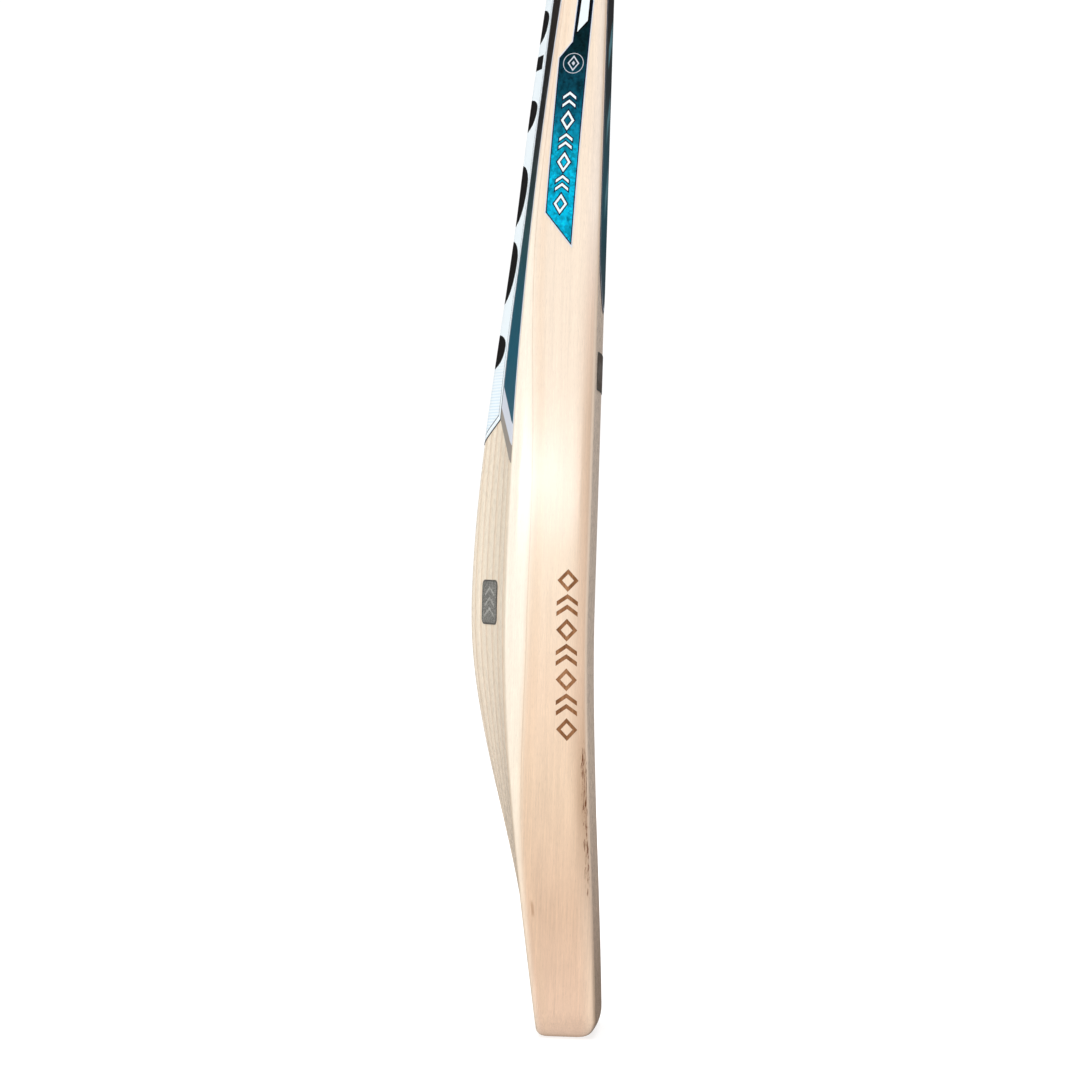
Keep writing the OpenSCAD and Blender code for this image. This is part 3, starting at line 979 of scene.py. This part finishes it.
def add_face_label(vinyls):
    """Dark, with a double outline and three broad chevrons."""
    half, low, top = HALF_BLADE - 5, FACE_LABEL_TIP, SHOULDER_Z
    outline = face_label_loop(half, low, top)
    paint = [
        (None, vinyls["navy"]),
        (face_label_loop(half - 1, low + 1.2, top - 1), vinyls["silver"]),
        (face_label_loop(half - 2, low + 2.6, top - 2), vinyls["face_dark"]),
    ]
    for k in range(3):
        paint.append((chevron(0, 408 + 36 * k, 44 + 8 * k, 16, 11), vinyls["pale_teal"]))
    label("face_label", outline, paint, on_face, (4, 5))


def add_labels():
    back_fade = streaked(
        285, 535,
        (40, 92, 112, 300), (6, 88, 110, 328), (18, 86, 104, 356),
        (38, 76, 82, 388), (38, 44, 46, 428), (30, 30, 28, 458),
        (46, 38, 32, 500),
    )
    face_fade = streaked(
        345, 535,
        (84, 100, 108, 352), (46, 96, 110, 382), (44, 104, 120, 400),
        (54, 104, 118, 425), (62, 78, 82, 455), (62, 62, 62, 500),
    )
    vinyls = {
        "white": vinyl("vinyl_white", pinstripes),
        "plain": vinyl("vinyl_plain_white", lin(236, 247, 251)),
        "black": vinyl("vinyl_black", lin(14, 10, 9), mottle=0.3),
        "dark": vinyl("vinyl_dark", back_fade, mottle=0.1),
        "face_dark": vinyl("vinyl_face_dark", face_fade, mottle=0.1),
        "navy": vinyl("vinyl_navy", lin(8, 30, 58), mottle=0.3),
        "silver": vinyl("vinyl_silver", lin(206, 212, 222), rough=0.35),
        "pale_teal": vinyl("vinyl_pale_teal", lin(104, 158, 170), mottle=0.1),
        "lilac": vinyl("vinyl_lilac", lin(218, 224, 232), rough=0.35),
        "taupe": vinyl("vinyl_taupe", lin(150, 143, 134), rough=0.45, mottle=0.12),
        "foil": foil("foil_bright"),
    }
    add_back_label(vinyls)
    for word, sign in (("left", -1), ("right", 1)):
        add_back_stripe(word, sign, vinyls)
        add_edge_label(word, sign, vinyls)
    add_face_label(vinyls)


def badge(name, colour, dark):
    """Satin foil, speckled, with a fine relief."""
    s = Shade(name)
    speck = s.noise(s.scaled(1.4, 1.4, 1.4), detail=3, rough=0.7)
    cloud = s.noise(s.scaled(0.1, 0.1, 0.1), detail=2, shift=3)
    base = s.blend(s.step(speck, 0.42, 0.6), dark, colour)
    base = s.tint(base, s.add(0.85, s.mul(cloud, 0.3)))
    s.set(Base_Color=base, Metallic=0.3, Roughness=0.45, Specular_IOR_Level=0.2)
    s.bump(speck, 0.05, 0.5)
    return s.material


def rounded(u0, u1, v0, v1, r):
    """A rectangle with corners of radius r."""
    left, right, low, high = u0 + r, u1 - r, v0 + r, v1 - r
    corners = [(right, low, -90), (right, high, 0), (left, high, 90), (left, low, 180)]
    return [
        (u + r * math.cos(math.radians(a + b)), v + r * math.sin(math.radians(a + b)))
        for u, v, a in corners
        for b in (0, 22.5, 45, 67.5, 90)
    ]


def add_badges():
    grey = badge("badge_grey", lin(160, 160, 154), lin(112, 112, 107))
    relief = badge("badge_relief", lin(204, 204, 198), lin(150, 149, 144))
    rim = badge("badge_rim", lin(112, 111, 106), lin(84, 83, 80))
    outline = rounded(-41, -20, 197, 218.5, 3)
    paint = [(None, rim), (inset(outline, 0.8), grey)]
    for v in (203, 208, 213):
        paint.append((chevron(-30.5, v, 13, 3.6, 1.3), relief))
    label("back_badge", outline, paint, on_back, (2.5, 4))

    dark = badge("badge_dark", lin(138, 126, 116), lin(92, 80, 70))
    pale = badge("badge_pale", lin(186, 182, 176), lin(150, 146, 140))
    outline = rounded(-40, 40, 311.5, 330, 2.5)
    paint = [(None, rim), (inset(outline, 0.8), dark)]
    for u in range(-30, 31, 12):
        paint.append((diamond(u, 320.7, 9, 11), pale))
        paint.append((diamond(u, 320.7, 5.6, 7), dark))
    label("face_badge", outline, paint, on_face, (3, 4))


# ------------ handle


def cane_material():
    s = Shade("cane")
    fibre = s.noise(s.scaled(2.2, 2.2, 0.03), detail=3, rough=0.65)
    pore = s.cells(s.scaled(1, 1, 0.02), 1.7)
    band = s.noise(s.scaled(0.05, 0.05, 0.02), detail=2, shift=11)
    colour = s.ramp(s.add(s.mul(fibre, 0.7), s.mul(band, 0.3)), 0.3, 0.7,
                    (186, 146, 92), (212, 176, 120), (228, 198, 146))
    colour = s.blend(s.mul(s.step(pore, 0.28, 0.12), 0.6), colour, lin(132, 92, 54))
    s.set(
        Base_Color=colour,
        Roughness=s.add(0.45, s.mul(fibre, 0.2)),
        Coat_Weight=0.15,
        Coat_Roughness=0.3,
    )
    s.bump(s.add(fibre, s.mul(pore, 0.5)), 0.08, 0.6)
    return s.material


def spring_material():
    s = Shade("spring_rubber")
    speck = s.noise(s.scaled(2.5, 2.5, 2.5), detail=3, rough=0.7)
    colour = s.ramp(speck, 0.35, 0.7, (86, 44, 30), (112, 62, 44))
    s.set(Base_Color=colour, Roughness=0.7)
    s.bump(speck, 0.04, 0.5)
    return s.material


def thread_material():
    s = Shade("waxed_thread")
    around = s.math("ARCTAN2", s.x, s.add(s.y, -HANDLE_Y))
    ply = s.math("SINE", s.add(s.mul(around, 60.0), s.mul(s.z, 9.0)))
    fuzz = s.noise(s.scaled(3, 3, 3), detail=3, rough=0.7)
    dirt = s.noise(s.scaled(0.12, 0.12, 0.12), detail=2, shift=8)
    colour = s.ramp(s.add(s.mul(fuzz, 0.5), s.mul(dirt, 0.5)), 0.3, 0.7,
                    (196, 180, 150), (226, 214, 188), (240, 232, 210))
    # painted shade: the thread a little darker in the grooves between its plies
    colour = s.tint(colour, s.add(0.95, s.mul(ply, 0.05)))
    s.set(Base_Color=colour, Roughness=0.62, Sheen_Weight=0.15)
    s.bump(s.add(s.mul(ply, 0.25), fuzz), 0.06, 0.6)
    return s.material


def grip_material():
    s = Shade("grip_rubber")
    fine = s.noise(s.scaled(2.4, 2.4, 2.4), detail=3, rough=0.7)
    cloud = s.noise(s.scaled(0.06, 0.06, 0.06), detail=2, shift=2)
    raised = s.attribute("raised")
    colour = s.ramp(cloud, 0.3, 0.7, (20, 92, 112), (28, 110, 130))
    # painted shade: the rubber darker in the grooves between the raised ribs
    colour = s.blend(s.mul(s.step(raised, 0.75, 0.2), 0.6), colour, lin(10, 48, 60))
    s.set(Base_Color=colour, Roughness=s.add(0.5, s.mul(fine, 0.2)), Specular_IOR_Level=0.4)
    s.bump(fine, 0.05, 0.5)
    return s.material


def roundness(z):
    """0 where the handle has the V's flat sides, 1 where it is round."""
    return float(smooth((z - ROOT_Z) / ROOT_H))


AROUND = 96  # points in a section of the bindings
THREAD_PITCH = 0.82
THREAD_STEP = THREAD_PITCH / 6  # height between two sections of a binding


def angles(count=AROUND):
    """Directions of that many points round the handle's axis, from the face."""
    return 2 * math.pi * np.arange(count) / count


def circle(radius, z, count=AROUND):
    """A ring round the handle's axis; radius is one number, or one for each point."""
    a = angles(count)
    return [(x, y, z) for x, y in zip(radius * np.sin(a), HANDLE_Y - radius * np.cos(a))]


def root_ring(z, t):
    """The handle's section at height z grown by t, one number or one for each point."""
    share = roundness(z)
    splice = mix(SPLICE_TIP_HALF, SPLICE_HALF, min(1, (z - SPLICE_TIP_Z) / SPLICE_DEPTH))
    s, c = np.sin(angles()), np.cos(angles())
    flat_y = np.where(c > 0, face_y(s * splice, z), back_y(s * splice, z))
    over_corner = np.clip(2.5 * c, -1, 1)
    x = (mix(splice, CANE_R, share) + t) * s
    y = mix(flat_y, HANDLE_Y - CANE_R * c, share) - t * over_corner
    return [(u, v, z) for u, v in zip(x, y)]


def wound(z):
    """How far the thread stands out at each point of the ring at height z, as a helix."""
    phase = z / THREAD_PITCH - angles() / (2 * math.pi)
    return THREAD_T * mix(0.6, 1, np.abs(np.sin(math.pi * phase)))


def add_bindings(material):
    """Thread round the handle's root and round the bar, each a wound sleeve."""
    low, high = BLADE_LENGTH + 0.2, THREAD_Z - 0.05
    rings = [root_ring(z, wound(z)) for z in np.append(np.arange(low, high, THREAD_STEP), high)]
    rings += [root_ring(z, 0.05) for z in (high, 575, 568, low)]
    root = mesh_object("shoulder_binding_thread", flat(rings), tube(rings), [material], sharp=60)
    finish_piece(root, "shoulder_binding")

    # the long one's turns are made only where the grip leaves them bare
    top, middle = HANDLE_TOP - 1, 720
    bare = [*np.arange(THREAD_Z, THREAD_Z + 9, THREAD_STEP)]
    rings = [circle(CANE_R + wound(z), z) for z in bare]
    rings += [circle(CANE_R + 0.6, z) for z in (THREAD_Z + 10, middle, top - 1)]
    rings += [circle(CANE_R + wound(z), z) for z in (top - 0.6, top - 0.4, top - 0.2, top)]
    rings += [circle(CANE_R + 0.02, z) for z in (top, middle, THREAD_Z)]
    upper = mesh_object("handle_binding_thread", flat(rings), tube(rings), [material], sharp=60)
    finish_piece(upper, "handle_binding")


GRIP_AROUND, GRIP_HEIGHTS = 180, 470  # points round the sleeve, and sections along it
CHEVRONS = 6  # round the sleeve
RIB_PITCH, RIB_RISE = 7.5, 0.9  # height of a row, and the rise of its arms in rows
RIB_DEPTH, PLAIN_END = 0.55, 4
LIP_HEIGHT, LIP_DEPTH = 1.2, 1.1


def add_grip(material):
    """A rubber sleeve with rows of moulded chevrons and rounded ends."""
    low, high = GRIP_Z, HANDLE_TOP + 1
    inner = CANE_R + THREAD_T
    outer = inner + GRIP_T
    first = math.ceil((low + PLAIN_END) / RIB_PITCH + RIB_RISE) + 0.25
    last = math.floor((high - PLAIN_END) / RIB_PITCH) + 0.25
    fold = np.abs(angles(GRIP_AROUND) / (2 * math.pi) * CHEVRONS % 1 * 2 - 1)
    rings, raised = [], []
    for z in np.linspace(low, high, GRIP_HEIGHTS):
        row = np.clip(z / RIB_PITCH + fold * RIB_RISE, first, last)
        rib = smooth(0.5 + 0.85 * np.sin(2 * math.pi * row))
        end = min(1, min(z - low, high - z) / LIP_HEIGHT)
        lip = LIP_DEPTH * (1 - math.sqrt(max(0, 1 - (1 - end) ** 2)))
        rings.append(circle(outer - RIB_DEPTH * (1 - rib) - lip, z, GRIP_AROUND))
        raised += [*rib]
    for z in (high, 720, low):
        rings.append(circle(inner, z, GRIP_AROUND))
        raised += [1] * GRIP_AROUND
    ob = mesh_object("grip_sleeve", flat(rings), tube(rings), [material], sharp=50)
    layer = ob.data.attributes.new("raised", "FLOAT", "POINT")
    layer.data.foreach_set("value", np.array(raised, np.float32))
    finish_piece(ob, "grip")


def finish_cane():
    """Better materials for the CAD's canes and springs, whose shapes stay."""
    cane, rubber = cane_material(), spring_material()
    for name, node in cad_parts.items():
        if name.startswith(("cane_", "spring_")):
            material = cane if name.startswith("cane_") else rubber
            for k in range(len(node.data.materials)):
                node.data.materials[k] = material


# ------------ stage


def add_light(name, kind, energy, place, aim, size, colour=(1, 1, 1), shine=False, soft=True):
    """A light that the camera doesn't see: shine makes highlights, soft lights surfaces.

    size is in metres both ways; a sun has only the first, its angle in radians.
    """
    data = bpy.data.lights.new(name, kind)
    data.energy = energy
    data.color = colour
    if kind == "AREA":
        data.shape = "RECTANGLE"
        data.size, data.size_y = size
    else:
        data.angle = size[0]
    ob = link(bpy.data.objects.new(name, data))
    ob.location = place
    ob.rotation_euler = (Vector(aim) - Vector(place)).to_track_quat("-Z", "Y").to_euler()
    ob.visible_camera = False
    ob.visible_glossy = shine
    ob.visible_diffuse = soft


WORLD_FACE_SIDE, WORLD_BACK_SIDE = 0.66, 1.0  # light from -Y and from +Y
SHINE_ENDS, SHINE_SIDES = 0.02, 0.22  # brightness in reflections along X, and across it
WHITE = 1.05  # what the camera sees behind the bat
KEY_POWER, GLINT_POWER = 14.3, 0.95
KEY_X, KEY_Y = -2.45, 0.13
FLOOR_RADIUS, FLOOR_GLOW = 14, 0.72


def background(tree, strength, colour=(1, 1, 1, 1)):
    node = tree.nodes.new("ShaderNodeBackground")
    if isinstance(strength, bpy.types.NodeSocket):
        tree.links.new(strength, node.inputs["Strength"])
    else:
        node.inputs["Strength"].default_value = strength
    node.inputs["Color"].default_value = colour
    return node


def ranged(tree, value, low, high, at_low, at_high):
    """A value that goes from at_low to at_high while the given one goes from low to high."""
    node = tree.nodes.new("ShaderNodeMapRange")
    names = ("From Min", "From Max", "To Min", "To Max")
    for name, number in zip(names, (low, high, at_low, at_high)):
        node.inputs[name].default_value = number
    tree.links.new(value, node.inputs["Value"])
    return node.outputs["Result"]


def add_world():
    """White to the camera, brighter behind the bat's back, dark in reflections along X."""
    world = bpy.data.worlds.new("studio")
    bpy.context.scene.world = world
    world.use_nodes = True
    tree = world.node_tree
    tree.nodes.clear()
    out = tree.nodes.new("ShaderNodeOutputWorld")
    coordinates = tree.nodes.new("ShaderNodeTexCoord")
    parts = tree.nodes.new("ShaderNodeSeparateXYZ")
    tree.links.new(coordinates.outputs["Generated"], parts.inputs[0])
    glow = ranged(tree, parts.outputs["Y"], -1, 1, WORLD_FACE_SIDE, WORLD_BACK_SIDE)
    soft = background(tree, glow, (1.0, 0.98, 0.985, 1))
    along = tree.nodes.new("ShaderNodeMath")
    along.operation = "ABSOLUTE"
    tree.links.new(parts.outputs["X"], along.inputs[0])
    shine = ranged(tree, along.outputs[0], 0.6, 0.95, SHINE_SIDES, SHINE_ENDS)
    path = tree.nodes.new("ShaderNodeLightPath")
    current = soft
    for output, node in (
        ("Is Glossy Ray", background(tree, shine)),
        ("Is Camera Ray", background(tree, WHITE)),
    ):
        pick = tree.nodes.new("ShaderNodeMixShader")
        tree.links.new(path.outputs[output], pick.inputs[0])
        tree.links.new(current.outputs[0], pick.inputs[1])
        tree.links.new(node.outputs[0], pick.inputs[2])
        current = pick
    tree.links.new(current.outputs[0], out.inputs["Surface"])


def add_stage():
    middle = (-0.054, 0.025, 0.28)
    add_light(
        "key", "AREA", KEY_POWER, (KEY_X, KEY_Y, 0.30), middle, (0.34, 0.16),
        colour=(1, 0.985, 0.95),
    )
    add_light(
        "glint", "AREA", GLINT_POWER, (KEY_X, KEY_Y, 0.295), middle, (0.05, 0.03),
        shine=True, soft=False,
    )
    add_light("far_side", "AREA", 16, (2.2, 0.3, 0.9), (0.05, 0, 0.35), (1.2, 1.4))
    add_light("rim", "AREA", 25, (1.8, 1.5, 0.4), (0, 0, 0.2), (0.9, 1.2))
    add_light("overhead", "SUN", 1.9, (0, 0, 3), (0, 0, 0), (0.9,), shine=True)

    s = Shade("floor_white")
    cloud = s.noise(s.scaled(0.002, 0.002, 0.002), detail=2)
    s.set(
        Base_Color=s.tint(lin(150, 150, 150), s.add(0.98, s.mul(cloud, 0.02))),
        Roughness=0.9,
        Emission_Color=lin(255, 255, 255),
        Emission_Strength=FLOOR_GLOW,
    )
    mesh = bpy.data.meshes.new("floor")
    angles = np.radians(range(0, 360, 5))
    ring = [(FLOOR_RADIUS * math.cos(a), FLOOR_RADIUS * math.sin(a), 0) for a in angles]
    mesh.from_pydata(ring, [], [tuple(range(len(ring)))])
    mesh.materials.append(s.material)
    floor = link(bpy.data.objects.new("floor", mesh))
    floor.visible_diffuse = False
    floor.visible_glossy = False


add_blade(willow(), burnt())
add_labels()
add_badges()
add_bindings(thread_material())
add_grip(grip_material())
finish_cane()
add_world()
add_stage()

scene = bpy.context.scene
scene.view_settings.view_transform = "Standard"
scene.view_settings.look = "None"
